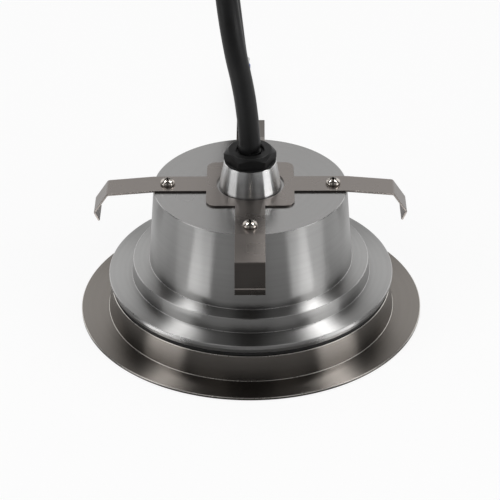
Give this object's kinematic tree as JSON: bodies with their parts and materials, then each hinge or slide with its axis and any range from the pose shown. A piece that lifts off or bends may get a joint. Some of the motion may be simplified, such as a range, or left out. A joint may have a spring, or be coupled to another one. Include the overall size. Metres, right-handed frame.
{
  "type": "recessed floor light",
  "caption": "Round recessed floor light lying face down: steel front ring, stepped aluminium body, leaf springs for the cut-out and a mains lead through a gland.",
  "frame": {"origin": "centre of the front face, on the surface that the light lies on face down", "axes": "+Z from the front face along the body's axis towards the gland and lead; X and Y run along the four spring arms, and the lead goes away along +Y"},
  "size_m": [0.15, 0.316, 0.1674],
  "materials": {
    "front_steel": "fine circular brushing",
    "screw_steel": "bright stainless",
    "glass": "clear hardened glass",
    "black_rubber": "smooth black rubber",
    "plain_aluminium": "as machined",
    "turned_aluminium": "satin turned",
    "black_plastic": "black moulded plastic",
    "lens_plastic": "clear moulded acrylic",
    "white_board": "white solder mask",
    "phosphor": "yellow phosphor",
    "heat_pad": "soft grey heat pad",
    "white_plastic": "white moulded plastic",
    "green_board": "green solder mask",
    "ferrite": "dark ferrite",
    "coil_tape": "yellow tape",
    "capacitor_sleeve": "dark sleeve",
    "copper": "lacquered copper wire",
    "ceramic_body": "sand coloured ceramic",
    "yellow_brass": "plain brass",
    "brown_core": "brown insulation",
    "blue_core": "blue insulation",
    "earth_core": "green and yellow insulation",
    "red_core": "red insulation",
    "bright_aluminium": "bright turned",
    "black_nylon": "black moulded nylon",
    "spring_steel": "cold rolled stainless sheet",
    "lead_rubber": "matt black rubber jacket",
    "tinned_copper": "tinned copper"
  },
  "bodies": {
    "light_body": {"trim_ring": "front_steel", "face_screws": "screw_steel", "glass_lens": "glass", "glass_gasket": "black_rubber", "clamp_ring": "plain_aluminium", "body_gasket": "black_rubber", "housing": "turned_aluminium", "lens_holder": "black_plastic", "optic_lenses": "lens_plastic", "led_board": "white_board", "led_chips": "phosphor", "led_board_screws": "screw_steel", "thermal_pad": "heat_pad", "heat_spreader": "plain_aluminium", "spreader_screws": "screw_steel", "driver_cup": "white_plastic", "driver_board": "green_board", "transformer_core": "ferrite", "transformer_coil": "coil_tape", "bulk_capacitor": "capacitor_sleeve", "film_capacitor": "coil_tape", "choke": "copper", "rectifier": "black_plastic", "driver_chip": "black_plastic", "fuse": "ceramic_body", "driver_lid": "white_plastic", "terminal_block": "white_plastic", "terminal_screws": "yellow_brass", "input_leads": "brown_core", "led_leads": "red_core", "live_wire": "brown_core", "neutral_wire": "blue_core", "earth_wire": "earth_core", "earth_tag": "yellow_brass", "earth_screw": "screw_steel", "gland_boss": "bright_aluminium", "gland_oring": "black_rubber", "gland_seal": "black_rubber", "spring_plate": "spring_steel", "spring_screws": "screw_steel", "lead_inner": "lead_rubber", "lead": "lead_rubber", "core_ends": "brown_core", "core_ferrules": "tinned_copper"},
    "arm_front": {"spring_arm_front": "spring_steel"},
    "arm_back": {"spring_arm_back": "spring_steel"},
    "arm_left": {"spring_arm_left": "spring_steel"},
    "arm_right": {"spring_arm_right": "spring_steel"},
    "slip_washer": {"gland_washer": "black_nylon"},
    "nut": {"gland_nut": "black_nylon"}
  },
  "joints": [
    {"name": "arm_front_flex", "type": "hinge", "parent": "light_body", "child": "arm_front", "pos_m": [0, -0.04175, 0.0602], "axis": [1, 0, 0], "range_deg": [0, 22], "stiffness_Nm_per_rad": 5},
    {"name": "arm_back_flex", "type": "hinge", "parent": "light_body", "child": "arm_back", "pos_m": [0, 0.04175, 0.0602], "axis": [-1, 0, 0], "range_deg": [0, 22], "stiffness_Nm_per_rad": 5},
    {"name": "arm_left_flex", "type": "hinge", "parent": "light_body", "child": "arm_left", "pos_m": [-0.04175, 0, 0.0602], "axis": [0, -1, 0], "range_deg": [0, 22], "stiffness_Nm_per_rad": 5},
    {"name": "arm_right_flex", "type": "hinge", "parent": "light_body", "child": "arm_right", "pos_m": [0.04175, 0, 0.0602], "axis": [0, 1, 0], "range_deg": [0, 22], "stiffness_Nm_per_rad": 5},
    {"name": "washer_lift", "type": "slide", "parent": "light_body", "child": "slip_washer", "axis": [0, 0, 1], "range_m": [0, 0.00225]},
    {"name": "nut_turn", "type": "hinge", "parent": "slip_washer", "child": "nut", "pos_m": [0, 0, 0.0747], "axis": [0, 0, 1], "range_deg": [0, 540]}
  ],
  "couplings": [
    {"joint": "washer_lift", "follows": "nut_turn", "m_per_rad": 0.0002387}
  ]
}
